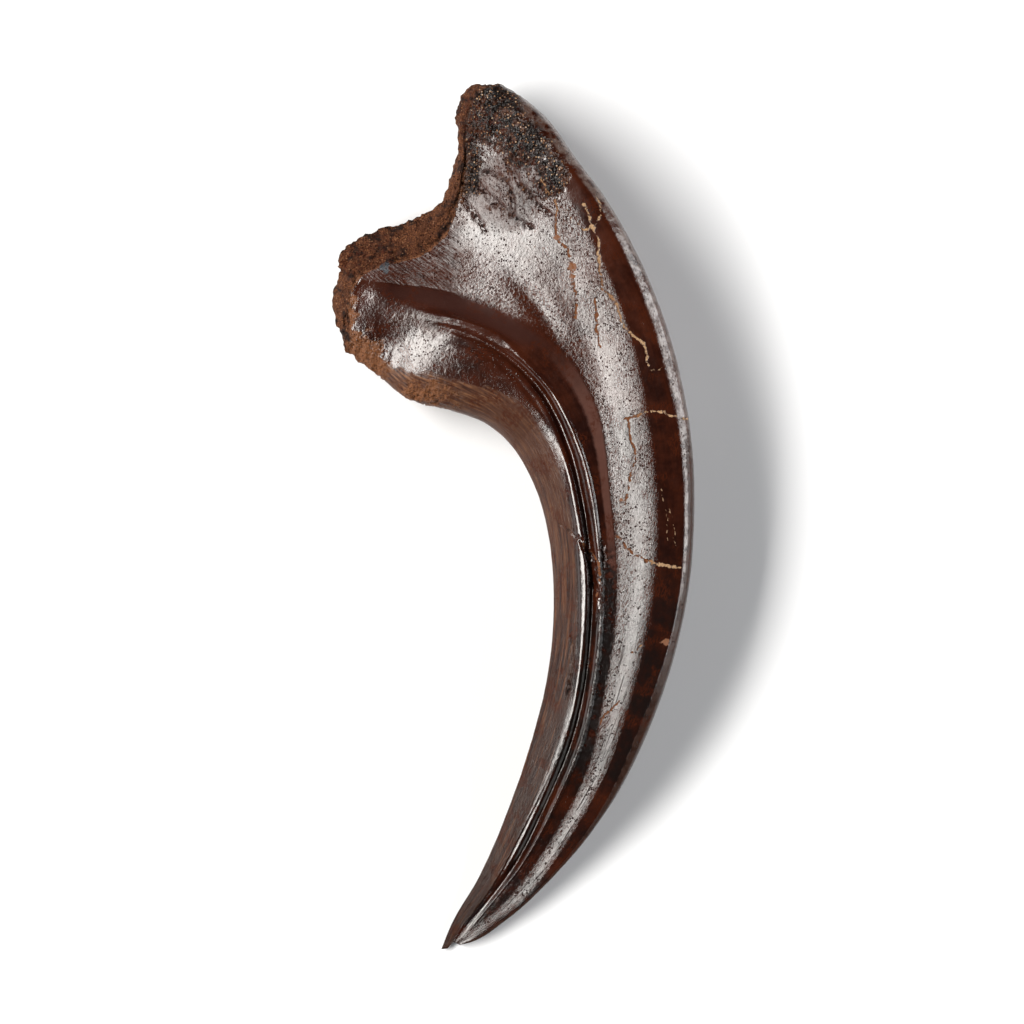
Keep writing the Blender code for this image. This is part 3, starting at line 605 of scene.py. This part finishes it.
def buildSurfaceTree():
    # pushes the smooth blank in and out: lumps and pores where the bone is open, fibres, waves and cracks
    group = bpy.data.node_groups.new("fossilSurface", "GeometryNodeTree")
    face = group.interface
    face.new_socket("Geometry", in_out="OUTPUT", socket_type="NodeSocketGeometry")
    face.new_socket("Geometry", in_out="INPUT", socket_type="NodeSocketGeometry")
    for name in ("Cracks", "Hairlines", "Gouges"):
        face.new_socket(name, in_out="INPUT", socket_type="NodeSocketObject")
    for name in clawDetail:
        if isinstance(clawDetail[name], float):
            face.new_socket(name, in_out="INPUT", socket_type="NodeSocketFloat")
    face.new_socket("Material", in_out="INPUT", socket_type="NodeSocketMaterial")
    tree = Tree(group)
    entry = group.nodes.new("NodeGroupInput")
    given = {socket.name: Link(tree, socket) for socket in entry.outputs if socket.name}

    def note(name, kind="FLOAT"):
        return tree.node("GeometryNodeInputNamedAttribute", {"data_type": kind}, {"Name": name})

    where = tree.scaled(tree.node("GeometryNodeInputPosition"), 1000)
    lane = note("lane")
    porous = note("porous")
    flow = note("flow", "FLOAT_VECTOR")

    noises = clawDetail["noises"]
    broad = tree.noise(where, *noises["broadWaves"]) - 0.5
    small = tree.noise(where, *noises["smallWaves"]) - 0.5
    wave = (broad * 1.6 + small * 0.7) * given["waveDepth"]

    ragged = tree.added(where, tree.scaled(tree.noise(where, 0.9, 2, colour=True), 1.4))
    lumps = (tree.noise(ragged, *noises["lumps"]) - 0.5) * given["lumpDepth"] * 2
    pore = tree.cells(ragged, 1 / given["poreSpacing"]).step(0.42, 0.12)
    poreHere = tree.noise(where, *noises["poreAreas"]).step(0.42, 0.6)
    openHere = porous.step(0.08, 0.85)
    openBone = openHere * (lumps - pore * poreHere * given["poreDepth"])

    stretched = tree.scaled(flow, (1.5, 0.14, 1))
    fibres = (tree.noise(stretched, 1.0, 3, 0.6) - 0.5) * given["fibreDepth"] * lane.step(1.15, 0.7)
    furrows = tree.noise(tree.scaled(flow, (0.9, 0.05, 1)), 1.0, 2) - 0.5
    furrows = furrows * given["furrowDepth"] * lane.step(4.6, 6.0)

    wander = tree.noise(where, 1.1, 3, 0.65, colour=True)
    shift = tree.scaled(tree.added(wander, (-0.5, -0.5, -0.5)), given["crackWander"] * 0.001)
    source = tree.added(tree.node("GeometryNodeInputPosition"), shift)

    def distanceToLines(lines, wobble):
        found = tree.node("GeometryNodeObjectInfo", {"transform_space": "RELATIVE"}, {"Object": lines}, 4)
        asMesh = tree.node("GeometryNodeCurveToMesh", {}, {"Curve": found})
        near = {"Target": asMesh, "Source Position": wobble}
        return tree.node("GeometryNodeProximity", {"target_element": "EDGES"}, near, 1) * 1000

    crackAway = distanceToLines(given["Cracks"], source)
    hairAway = distanceToLines(given["Hairlines"], source)
    gougeAway = distanceToLines(given["Gouges"], source)
    wide = given["crackWidth"] * (0.5 + tree.noise(where, 0.5, 2))
    crack = 1 - (crackAway / wide).atMost(1)
    hair = 1 - (hairAway / given["hairlineWidth"]).atMost(1)
    gouge = gougeAway.step(1, 0.2, given["gougeWidth"] * (0.6 + tree.noise(where, 0.6, 2)))
    cuts = crack * given["crackDepth"] + hair * given["hairlineDepth"] + gouge * given["gougeDepth"]

    change = (wave + openBone + fibres + furrows - cuts) * 0.001
    push = tree.scaled(tree.node("GeometryNodeInputNormal"), change)
    moved = tree.node("GeometryNodeSetPosition", {}, {"Geometry": given["Geometry"], "Offset": push})
    # nothing goes below the table
    place = tree.node("GeometryNodeInputPosition")
    parts = group.nodes.new("ShaderNodeSeparateXYZ")
    group.links.new(place.socket, parts.inputs[0])
    x, y, z = (Link(tree, socket) for socket in parts.outputs)
    above = tree.node("ShaderNodeCombineXYZ", {}, {"X": x, "Y": y, "Z": z.atLeast(0)})
    moved = tree.node("GeometryNodeSetPosition", {}, {"Geometry": moved, "Position": above})

    # what the finish reads later
    noted = {"crackAway": crackAway, "hairAway": hairAway, "gougeAway": gougeAway}
    noted["pore"] = pore * poreHere * openHere
    for name, value in noted.items():
        sockets = {"Geometry": moved, "Name": name, "Value": value}
        settings = {"data_type": "FLOAT", "domain": "POINT"}
        moved = tree.node("GeometryNodeStoreNamedAttribute", settings, sockets)
    whole = tree.node("GeometryNodeRealizeInstances", {}, {"Geometry": moved})
    dressed = tree.node("GeometryNodeSetMaterial", {}, {"Geometry": whole, "Material": given["Material"]})
    leaving = group.nodes.new("NodeGroupOutput")
    group.links.new(dressed.socket, leaving.inputs[0])
    return group


boneFinish = {
    "darkRed": (0.0105, 0.0017, 0.0006),
    "redBrown": (0.047, 0.0098, 0.0033),
    "satinBrown": (0.062, 0.026, 0.016),
    "copper": (0.26, 0.125, 0.060),
    "purpleBrown": (0.100, 0.043, 0.032),
    # painted shade: dark purple for the hollow above the groove, partly its own tone and partly the shade it
    # lies in
    "lensShadePurple": (0.035, 0.013, 0.010),
    "openBrown": (0.060, 0.021, 0.010),
    "deepBrown": (0.029, 0.0125, 0.0080),
    # painted reflection: a lighter grey for the rim of the back, in mottled patches, stands for the floor
    # mirrored there
    "rimSheenGrey": (0.120, 0.082, 0.068),
    "nearBlack": (0.006, 0.004, 0.0035),
    "rust": (0.17, 0.065, 0.026),
    "warmBrown": (0.145, 0.062, 0.030),
    "slate": (0.052, 0.056, 0.064),
    "sand": (0.42, 0.27, 0.15),
    # spots as x, y and radius in mm
    "slateSpots": ((-19.6, 37.4, 0.55), (-19.0, 37.9, 0.5), (-19.1, 36.9, 0.5)),
    "rustSpots": (
        (6.5, 41.9, 0.6), (8.9, 37.4, 0.75), (8.8, 35.9, 0.5), (22.7, -18.7, 0.6), (16.2, 2.6, 0.35),
    ),
    "spotSpread": 2.6,  # how ragged the spots are
    "bruisePlace": (-1.2, 48.5), "bruiseRadius": 6.5,
    "glossySpecular": 0.74, "dullSpecular": 0.12,
    "glossRoughness": 0.19, "bandRoughness": 0.21, "satinRoughness": 0.37, "innerRoughness": 0.25,
    "stripRoughness": 0.4, "openRoughness": 0.26, "jointRoughness": 0.55, "roughnessRange": (0.12, 0.95),
    # even patterns: changes per mm, detail, roughness, distortion
    "patterns": {
        "patches": (0.13, 4, 0.6, 0), "mottle": (0.7, 5, 0.65, 0), "grain": (2.6, 3, 0.6, 0),
        "fine": (5.2, 2, 0.6, 0), "wrinkle": (1.6, 2, 0.6, 0.8),
    },
    # patterns drawn out along the claw: changes across, along and the third axis, then as above
    "drawnPatterns": {
        "streaks": ((2.4, 0.10, 1), 4, 0.6, 0), "fibres": ((5.5, 0.30, 1), 3, 0.6, 0),
        "leather": ((3.4, 2.0, 1), 3, 0.7, 0.6),
    },
    "pitsPerMm": 2.9, "largePitsPerMm": 0.85, "grainsPerMm": 2.6,
    # lanes in which a finish begins, is full, begins to fade, and ends: 1 and 2 are the lips, 3 the foot of
    # the crest, 4 the shoulder, 5 the crest of the back
    "lanes": {
        "innerLip": (0.84, 0.92, 1.06, 1.16), "outerLip": (1.84, 1.9, 2.06, 2.14),
        "tuberclePits": (0.5, 0.7, 1.1, 1.5), "lens": (2.15, 2.4, 2.7, 2.95), "crevice": (2.0, 2.2, 2.8, 3.1),
        "band": (2.9, 3.2, 3.9, 4.2), "brushed": (2.85, 3.0, 3.5, 3.7),
        "crestBorder": (2.85, 3.05, 3.2, 3.55), "backBorder": (3.7, 3.95, 4.1, 4.3),
        "bevel": (4.0, 4.3, 4.9, 5.1),
    },
    # y in mm where a finish is absent, and where it is full
    "alongClaw": {
        "tubercle": (13, 24), "lens": (24.5, 27), "stripTop": (27, 15), "stripEnd": (-13, -4),
        "lowRim": (-6, -15), "outerRim": (16, 6), "low": (-3, -15), "creviceTop": (-2, -7),
        "creviceEnd": (-46, -32), "wornBand": (-12, -36),
    },
}


def bonePatterns(tree):
    # what the surface says of each place, and the patterns that vary the finish
    finish = boneFinish
    bone = SimpleNamespace()

    def note(name, result=2):
        settings = {"attribute_type": "GEOMETRY", "attribute_name": name}
        return tree.node("ShaderNodeAttribute", settings, {}, result)

    bone.where = tree.scaled(tree.node("ShaderNodeTexCoord", {}, {}, 3), 1000)
    bone.toBack = tree.node("ShaderNodeSeparateXYZ", {}, {0: bone.where})
    bone.toJoint = tree.node("ShaderNodeSeparateXYZ", {}, {0: bone.where}, 1)
    for name in ("lane", "porous", "fromRim", "crackAway", "hairAway", "gougeAway", "pore"):
        setattr(bone, name, note(name))
    for name, (scale, *kind) in finish["patterns"].items():
        setattr(bone, name, tree.noise(bone.where, scale, *kind))
    flow = note("flow", 1)
    for name, (stretch, *kind) in finish["drawnPatterns"].items():
        setattr(bone, name, tree.noise(tree.scaled(flow, stretch), 1.0, *kind))
    bone.grains = tree.cells(bone.where, finish["grainsPerMm"])
    bone.grainKind = tree.cellKind(bone.where, finish["grainsPerMm"])
    return bone


def raggedSpots(tree, bone, name):
    # 1 in the ragged spots of a list, 0 around them
    whole = None
    for x, y, radius in boneFinish[name]:
        offset = {0: tree.added(bone.where, (-x, -y, 0)), 1: (1, 1, 0)}
        apart = tree.node("ShaderNodeVectorMath", {"operation": "MULTIPLY"}, offset)
        away = tree.node("ShaderNodeVectorMath", {"operation": "LENGTH"}, {0: apart}, 1)
        spot = (away / radius + (bone.grain - 0.5) * boneFinish["spotSpread"]).step(1.0, 0.7)
        whole = spot if whole is None else whole.atLeast(spot)
    return whole


def markZones(tree, bone):
    # masks, 1 where a finish lies and 0 elsewhere, added to bone
    finish = boneFinish
    lanes = finish["lanes"]
    along = finish["alongClaw"]
    lane = bone.lane
    toBack = bone.toBack
    toJoint = bone.toJoint
    mottle = bone.mottle
    bone.tubercle = toJoint.step(*along["tubercle"]) * toBack.step(3, -4)
    innerPlace = lane + (bone.streaks - 0.5) * 0.3 + bone.tubercle * (0.42 + (mottle - 0.5) * 0.5)
    bone.inner = innerPlace.step(0.82, 0.68)
    strip = (lane + (mottle - 0.5) * 0.12).step(2.52, 2.66) * lane.step(2.98, 2.86)
    bone.strip = strip * toJoint.step(*along["stripTop"]) * toJoint.step(*along["stripEnd"])
    bone.lens = lane.within(*lanes["lens"]) * toJoint.step(*along["lens"]) * bone.fromRim.step(1.5, 7)
    bone.backRim = (lane + (mottle - 0.5) * 0.25).step(5.02, 5.25)
    bone.lowRim = bone.backRim * toJoint.step(*along["lowRim"])
    bone.outerRim = lane.step(5.32, 5.5) * toJoint.step(*along["outerRim"])
    bone.band = lane.within(*lanes["band"])
    bone.openBone = (bone.porous + (mottle - 0.5) * 1.4 + (bone.patches - 0.5) * 0.5).step(0.3, 0.56)
    bone.joint = (bone.fromRim + (mottle - 0.5) * 1.6).step(0.5, -0.2)
    bone.coarse = bone.openBone.atLeast(bone.joint)
    bone.border = lane.within(*lanes["crestBorder"]) + lane.within(*lanes["backBorder"])
    bone.low = toJoint.step(*along["low"])
    crevice = lane.within(*lanes["crevice"]) * toJoint.step(*along["creviceTop"])
    bone.crevice = crevice * toJoint.step(*along["creviceEnd"])
    bothLips = lane.within(*lanes["innerLip"]) + lane.within(*lanes["outerLip"])
    bone.lips = bothLips * bone.fromRim.step(10, 18)
    bone.brushed = lane.within(*lanes["brushed"]) * toBack.step(-6, -10)
    bruiseX, bruiseY = finish["bruisePlace"]
    acrossBruise = ((toBack - bruiseX) / finish["bruiseRadius"]).math("POWER", 2)
    alongBruise = ((toJoint - bruiseY) / finish["bruiseRadius"]).math("POWER", 2)
    bone.bruise = (acrossBruise + alongBruise + (mottle - 0.5) * 1.2).step(1.1, 0.3)
    filmPatches = tree.noise(bone.where, 0.3, 3, 0.6).step(0.49, 0.62)
    bone.film = filmPatches * bone.leather.step(0.58, 0.44) * (1 - bone.coarse)
    # glint spots, painted pale on the horn and left glossy
    bone.glint = bone.grainKind.step(0.82, 0.88) * bone.grains.step(0.4, 0.2)


def markDamage(tree, bone):
    # pits, cracks, gouges and stains, added to bone
    finish = boneFinish
    lane = bone.lane
    mottle = bone.mottle
    # small pits, close together on the worn ridge, and a few larger ones
    onTubercle = bone.tubercle * lane.within(*finish["lanes"]["tuberclePits"])
    pitHere = (bone.band + onTubercle + bone.backRim).atMost(1)
    crowded = tree.noise(bone.where, 0.28, 2).step(0.60, 0.40)
    chance = tree.cellKind(bone.where, finish["pitsPerMm"])
    toPit = tree.cells(bone.where, finish["pitsPerMm"])
    smallPits = (toPit + (1 - chance) * 0.6 + crowded * 0.16 - bone.border * 0.12).step(0.50, 0.32)
    largePits = tree.cells(bone.where, finish["largePitsPerMm"]).step(0.17, 0.09) * mottle.step(0.46, 0.53)
    worn = bone.streaks.step(0.41, 0.36) * bone.band * bone.toJoint.step(*finish["alongClaw"]["wornBand"])
    bone.pits = smallPits.atLeast(largePits).atLeast(worn) * pitHere
    bone.gouge = (bone.gougeAway + (bone.grain - 0.5) * 0.7).step(0.31, 0.12) * mottle.step(0.38, 0.48)
    bone.crack = (bone.crackAway + (bone.fine - 0.5) * 0.2 + (mottle - 0.5) * 0.14).step(0.24, 0.13)
    bone.hairline = (bone.hairAway + (bone.grain - 0.5) * 0.1).step(0.13, 0.06)
    bone.slate = raggedSpots(tree, bone, "slateSpots")
    bone.stain = raggedSpots(tree, bone, "rustSpots")


def innerSideColour(tree, bone):
    # satin brown with copper fibres, darker toward the tip, warm on the tubercle
    finish = boneFinish
    toJoint = bone.toJoint
    tubercle = bone.tubercle
    woven = bone.fibres + bone.mottle * 0.3
    copperHere = (bone.fibres + bone.streaks * 0.4).step(0.62, 1.0) * 0.35
    colour = tree.mix(copperHere, finish["satinBrown"], finish["copper"])
    colour = tree.mix(toJoint.step(6, -34) * 0.95, colour, finish["deepBrown"])
    colour = tree.mix(bone.streaks.step(0.50, 0.38) * toJoint.step(14, -6) * 0.8, colour, finish["darkRed"])
    colour = tree.mix(bone.streaks.step(0.54, 0.64) * toJoint.step(6, -16) * 0.5, colour, finish["rust"])
    colour = tree.mix(tubercle * bone.fibres.step(0.35, 0.6) * 0.75, colour, finish["warmBrown"])
    colour = tree.mix(tubercle * woven.step(0.70, 0.78) * 0.7, colour, finish["copper"])
    return tree.mix(tubercle * woven.step(0.58, 0.50) * 0.8, colour, finish["darkRed"])


def openBoneColour(tree, bone):
    # dark with brown and gold grains at the horn and pale painted glints, warm brown toward the tubercle
    finish = boneFinish
    copperGrain = bone.grainKind.step(0.55, 0.65) * bone.grains.step(0.45, 0.2) * 0.8
    horn = tree.mix(bone.mottle.step(0.70, 0.48), finish["openBrown"], finish["nearBlack"])
    horn = tree.mix(copperGrain, horn, finish["copper"])
    # painted highlight: the glint spots are coloured pale sand to stand for sparkling crystals
    horn = tree.mix(bone.glint * 0.9, horn, finish["sand"])
    warm = tree.mix(bone.fine.step(0.40, 0.6), finish["warmBrown"], finish["rust"])
    warm = tree.mix(bone.grain.step(0.46, 0.38) * 0.7, warm, finish["openBrown"])
    return tree.mix(bone.toBack.step(-6, -11), horn, warm)


def jointColour(tree, bone):
    # rusty open bone with black hollows and a few copper grains
    finish = boneFinish
    mottle = bone.mottle
    copperGrain = bone.grainKind.step(0.75, 0.85) * bone.grains.step(0.4, 0.2) * 0.6
    rusty = bone.fine.step(0.46, 0.66) * mottle.step(0.38, 0.60)
    colour = tree.mix(rusty, finish["openBrown"], finish["rust"])
    colour = tree.mix((mottle + bone.patches * 0.6).step(0.84, 0.70) * 0.85, colour, finish["nearBlack"])
    return tree.mix(copperGrain, colour, finish["copper"])


def boneColour(tree, bone):
    finish = boneFinish
    mottle = bone.mottle
    ruddy = bone.patches * 0.7 + bone.streaks * 0.25 + mottle * 0.3 + bone.toJoint.step(-5, 34) * 0.12
    colour = tree.mix(ruddy.step(0.50, 0.95), finish["darkRed"], finish["redBrown"])
    blackened = bone.low * (bone.patches + mottle * 0.5).step(0.95, 0.55) * 0.85
    colour = tree.mix(blackened, colour, finish["nearBlack"])
    colour = tree.mix(bone.inner * (0.65 + 0.35 * mottle), colour, innerSideColour(tree, bone))
    colour = tree.mix(bone.strip * (0.7 + mottle * 0.3), colour, finish["purpleBrown"])
    # painted shade: the hollow above the groove is coloured dark purple, partly its own tone and partly the
    # shade it lies in
    colour = tree.mix(bone.lens * 0.8, colour, finish["lensShadePurple"])
    # painted reflection: the rim of the back is lightened to grey in mottled patches, standing for the floor
    # mirrored there
    colour = tree.mix(bone.backRim * mottle.step(0.38, 0.56) * 0.8, colour, finish["rimSheenGrey"])
    brownRim = (bone.lowRim + bone.outerRim).atMost(1) * (0.6 + mottle * 0.5)
    colour = tree.mix(brownRim, colour, finish["deepBrown"])
    colour = tree.mix(bone.openBone, colour, openBoneColour(tree, bone))
    colour = tree.mix(bone.joint, colour, jointColour(tree, bone))
    colour = tree.mix(bone.film * 0.7, colour, finish["redBrown"])
    colour = tree.mix(bone.crevice * mottle.step(0.62, 0.48) * 0.9, colour, finish["nearBlack"])
    # darker red in the pits is painted shade; the worn streaks carried in the same mask are their own dark
    # colour
    colour = tree.mix(bone.pits * 0.8, colour, finish["darkRed"])
    colour = tree.mix(bone.border * bone.leather.step(0.5, 0.4) * 0.8, colour, finish["redBrown"])
    # painted shade: the pores of the open bone are coloured near black
    colour = tree.mix(bone.pore * 0.9, colour, finish["nearBlack"])
    infill = tree.mix(bone.lane.step(3.8, 4.15), finish["rust"], finish["sand"])
    infill = tree.mix(bone.fine.step(0.42, 0.6) * 0.5, infill, finish["redBrown"])
    colour = tree.mix(bone.crack, colour, infill)
    colour = tree.mix(bone.hairline * 0.6, colour, infill)
    colour = tree.mix(bone.gouge * 0.9, colour, finish["nearBlack"])
    colour = tree.mix(bone.stain, colour, finish["rust"])
    return tree.mix(bone.slate, colour, finish["slate"])


def boneRoughness(bone):
    finish = boneFinish
    gloss = finish["glossRoughness"]
    satin = finish["satinRoughness"]
    satin = satin + (finish["innerRoughness"] - satin) * bone.toJoint.step(18, 4)
    lowest, highest = finish["roughnessRange"]
    roughness = gloss + (bone.mottle - 0.5) * 0.12 + bone.band * (finish["bandRoughness"] - gloss)
    roughness = roughness + bone.inner * (satin - gloss)
    roughness = roughness + bone.strip * (finish["stripRoughness"] - gloss)
    roughness = roughness + bone.openBone * (finish["openRoughness"] - gloss)
    roughness = roughness + bone.joint * (finish["jointRoughness"] - gloss)
    roughness = roughness - bone.lips * 0.03 + bone.brushed * 0.14 + bone.bruise * 0.2 + bone.pits * 0.35
    roughness = roughness + (bone.crack + bone.gouge + bone.stain) * 0.6 + bone.hairline * 0.3
    return roughness.atMost(highest).atLeast(lowest)


def boneRelief(tree, bone):
    # fine relief in mm, calm where the bone is worn smooth
    bevel = bone.lane.within(*boneFinish["lanes"]["bevel"])
    calm = bone.inner * 0.6 + bone.lips * 0.7 + bone.strip * 0.9 + bone.lens * 0.6 + bevel * 0.6
    lumps = (bone.wrinkle - 0.5) * (0.036 + bone.bruise * 0.06 + bone.border * 0.03)
    lumps = lumps + (bone.leather - 0.5) * (0.034 + bone.border * 0.03) + (bone.grain - 0.5) * 0.012
    relief = lumps * (1 - calm.atMost(0.9)) - bone.pits * 0.06 - bone.pore * 0.08
    relief = relief + (bone.fibres - 0.5) * bone.inner * (0.09 + bone.tubercle * 0.13)
    relief = relief + (bone.fibres - 0.5) * bone.brushed * 0.2
    relief = relief + (tree.noise(bone.where, 1.5, 3, 0.7) - 0.5) * bone.crevice * 0.22
    openLumps = (tree.noise(bone.where, 1.0, 2, 0.6) - 0.5) * 0.6 + (0.4 - bone.grains) * 0.13
    return relief + bone.coarse * openLumps - bone.crack * 0.03 - bone.gouge * 0.12


def boneDullness(bone):
    # share of the dull shader: what is worn, open, dirty or broken hardly mirrors the light
    mottle = bone.mottle
    matte = bone.inner * 0.9 + bone.strip * 0.9 + bone.joint * 0.6 + bone.lowRim + bone.outerRim
    matte = matte + bone.backRim * mottle.step(0.56, 0.44) * 0.5
    matte = matte + bone.openBone * (0.7 + mottle * 0.3) * (1 - bone.glint)
    matte = matte + bone.film * 0.5 + bone.crevice * mottle.step(0.40, 0.56) * 0.7
    matte = matte + bone.border * bone.leather.step(0.46, 0.38) * 0.7 + bone.lens * 0.6
    matte = matte + bone.brushed * bone.fibres.step(0.54, 0.42) * 0.8
    return (matte + bone.crack + bone.gouge * 0.7 + bone.pits * 0.8).atMost(1)


def makeBoneFinish():
    material = bpy.data.materials.new("fossilBone")
    material.use_nodes = True
    nodes = material.node_tree.nodes
    links = material.node_tree.links
    tree = Tree(material.node_tree)
    glossy = nodes["Principled BSDF"]
    glossy.inputs["Specular IOR Level"].default_value = boneFinish["glossySpecular"]
    dull = nodes.new("ShaderNodeBsdfPrincipled")
    dull.inputs["Specular IOR Level"].default_value = boneFinish["dullSpecular"]
    bone = bonePatterns(tree)
    markZones(tree, bone)
    markDamage(tree, bone)
    colour = boneColour(tree, bone)
    roughness = boneRoughness(bone)
    bump = {"Strength": 1, "Distance": 0.001, "Height": boneRelief(tree, bone)}
    normal = tree.node("ShaderNodeBump", {}, bump)
    for shader in (glossy, dull):
        for name, value in (("Base Color", colour), ("Roughness", roughness), ("Normal", normal)):
            links.new(value.socket, shader.inputs[name])
    shares = {0: boneDullness(bone), 1: Link(tree, glossy.outputs[0]), 2: Link(tree, dull.outputs[0])}
    whole = tree.node("ShaderNodeMixShader", {}, shares)
    links.new(whole.socket, nodes["Material Output"].inputs["Surface"])
    print("bone finish:", len(nodes), "nodes")
    return material


def dressClaw(blank, material):
    cracks = drapedCurves("cracks", clawDetail["cracks"], blank)
    hairlines = drapedCurves("hairlines", clawDetail["hairlines"], blank)
    gouges = drapedCurves("gouges", clawDetail["gouges"], blank)
    group = buildSurfaceTree()
    sculpt = blank.modifiers.new("fossilSurface", "NODES")
    sculpt.node_group = group
    values = {"Cracks": cracks, "Hairlines": hairlines, "Gouges": gouges, "Material": material}
    for item in group.interface.items_tree:
        if item.in_out == "INPUT" and item.name != "Geometry":
            sculpt[item.identifier] = values.get(item.name, clawDetail.get(item.name))
    graph = bpy.context.evaluated_depsgraph_get()
    sculpted = blank.evaluated_get(graph)
    mesh = bpy.data.meshes.new_from_object(sculpted, preserve_all_data_layers=True, depsgraph=graph)
    mesh.name = "fossilClaw"
    claw = bpy.data.objects.new("fossilClaw", mesh)
    bpy.context.scene.collection.objects.link(claw)
    for helper in (blank, cracks, hairlines, gouges):
        bpy.data.objects.remove(helper, do_unlink=True)
    mesh.shade_smooth()
    mesh.calc_loop_triangles()
    print("fossil claw:", len(mesh.loop_triangles), "triangles")
    return claw


claw = dressClaw(blank, makeBoneFinish())
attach(claw, "root")
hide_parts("claw")


studio = {
    "key": {
        "azimuth": 171, "elevation": 42.5, "distance": 0.9, "size": (0.98, 0.3), "power": 16.3,
        "colour": (1, 0.965, 0.92),
    },
    "fill": {
        "azimuth": 0, "elevation": 17, "distance": 0.9, "size": (1.0, 0.4), "power": 11.1,
        "colour": (1, 1, 1),
    },
    "skyStrength": 0.03,
    "paperColour": (0.88, 0.898, 0.92), "paperRoughness": 0.9, "paperSpecular": 0.1,
    "tableReach": 3.0,
    "lensLength": 350, "sensorWidth": 36, "cameraPlace": (-0.0002, 0.0008, 1.5),
}


def areaLight(name, given):
    light = bpy.data.lights.new(name, "AREA")
    light.shape = "RECTANGLE"
    light.size, light.size_y = given["size"]
    light.energy = given["power"]
    light.color = given["colour"]
    lamp = bpy.data.objects.new(name, light)
    turn = math.radians(given["azimuth"])
    lift = math.radians(given["elevation"])
    toward = Vector((math.cos(turn) * math.cos(lift), math.sin(turn) * math.cos(lift), math.sin(lift)))
    lamp.location = toward * given["distance"]
    lamp.rotation_euler = (-lamp.location).to_track_quat("-Z", "Y").to_euler()
    bpy.context.scene.collection.objects.link(lamp)


def makeTable():
    paper = bpy.data.materials.new("whitePaper")
    paper.use_nodes = True
    sheet = paper.node_tree.nodes["Principled BSDF"]
    sheet.inputs["Base Color"].default_value = (*studio["paperColour"], 1)
    sheet.inputs["Roughness"].default_value = studio["paperRoughness"]
    sheet.inputs["Specular IOR Level"].default_value = studio["paperSpecular"]
    mesh = bpy.data.meshes.new("table")
    reach = studio["tableReach"]
    corners = [(-reach, -reach, 0), (reach, -reach, 0), (reach, reach, 0), (-reach, reach, 0)]
    mesh.from_pydata(corners, [], [(0, 1, 2, 3)])
    mesh.materials.append(paper)
    table = bpy.data.objects.new("table", mesh)
    bpy.context.scene.collection.objects.link(table)


def makeSky():
    world = bpy.data.worlds.new("studio")
    world.use_nodes = True
    background = world.node_tree.nodes["Background"]
    background.inputs["Color"].default_value = (1, 1, 1, 1)
    background.inputs["Strength"].default_value = studio["skyStrength"]
    bpy.context.scene.world = world


def makeCamera():
    # looks straight down on the claw
    lens = bpy.data.cameras.new("camera")
    lens.lens = studio["lensLength"]
    lens.sensor_width = studio["sensorWidth"]
    camera = bpy.data.objects.new("camera", lens)
    camera.location = studio["cameraPlace"]
    bpy.context.scene.collection.objects.link(camera)
    bpy.context.scene.camera = camera
    bpy.context.scene.view_settings.view_transform = "Standard"


makeTable()
areaLight("keyWindow", studio["key"])
areaLight("fillPanel", studio["fill"])
makeSky()
makeCamera()
print("studio ready")
